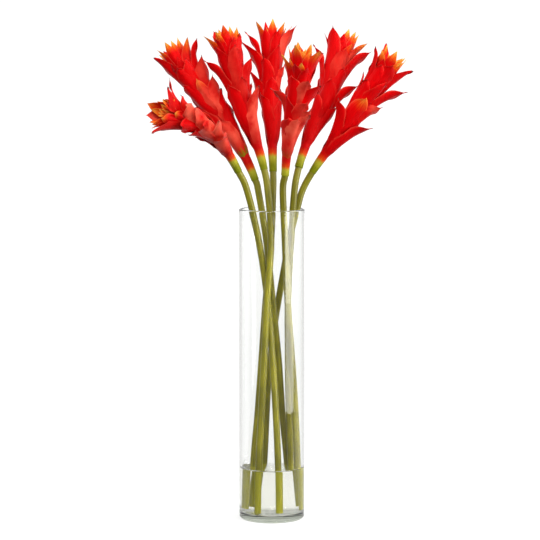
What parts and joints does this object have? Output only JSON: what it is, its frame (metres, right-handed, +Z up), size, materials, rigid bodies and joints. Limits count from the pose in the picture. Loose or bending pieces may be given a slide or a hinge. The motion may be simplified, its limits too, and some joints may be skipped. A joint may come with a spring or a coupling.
{
  "type": "bromeliad arrangement in vase",
  "caption": "Red bromeliad flower heads with orange tufts on long bare green stems, spread like a fan from a tall clear glass cylinder vase with a little clear water.",
  "frame": {"origin": "centre of the vase's flat underside", "axes": "+Z up along the vase, -Y towards the viewer of the picture, +X to its right"},
  "size_m": [0.376, 0.249, 0.7291],
  "materials": {
    "clear_glass": "clear, polished, with a soft rounded rim",
    "clear_water": "clear still water",
    "stem_green": "satin olive green",
    "bract_red": "satin deep red, yellow green at the collar",
    "tuft_orange": "satin orange with yellow tips"
  },
  "bodies": {
    "root": {"vase": "clear_glass", "water": "clear_water", "stem_left_low": "stem_green", "head_left_low": "bract_red", "tuft_left_low": "tuft_orange", "stem_left_top": "stem_green", "head_left_top": "bract_red", "tuft_left_top": "tuft_orange", "stem_mid_left": "stem_green", "head_mid_left": "bract_red", "tuft_mid_left": "tuft_orange", "stem_centre_back": "stem_green", "head_centre_back": "bract_red", "tuft_centre_back": "tuft_orange", "stem_centre_front": "stem_green", "head_centre_front": "bract_red", "tuft_centre_front": "tuft_orange", "stem_mid_right": "stem_green", "head_mid_right": "bract_red", "tuft_mid_right": "tuft_orange", "stem_right": "stem_green", "head_right": "bract_red", "tuft_right": "tuft_orange"}
  },
  "joints": []
}
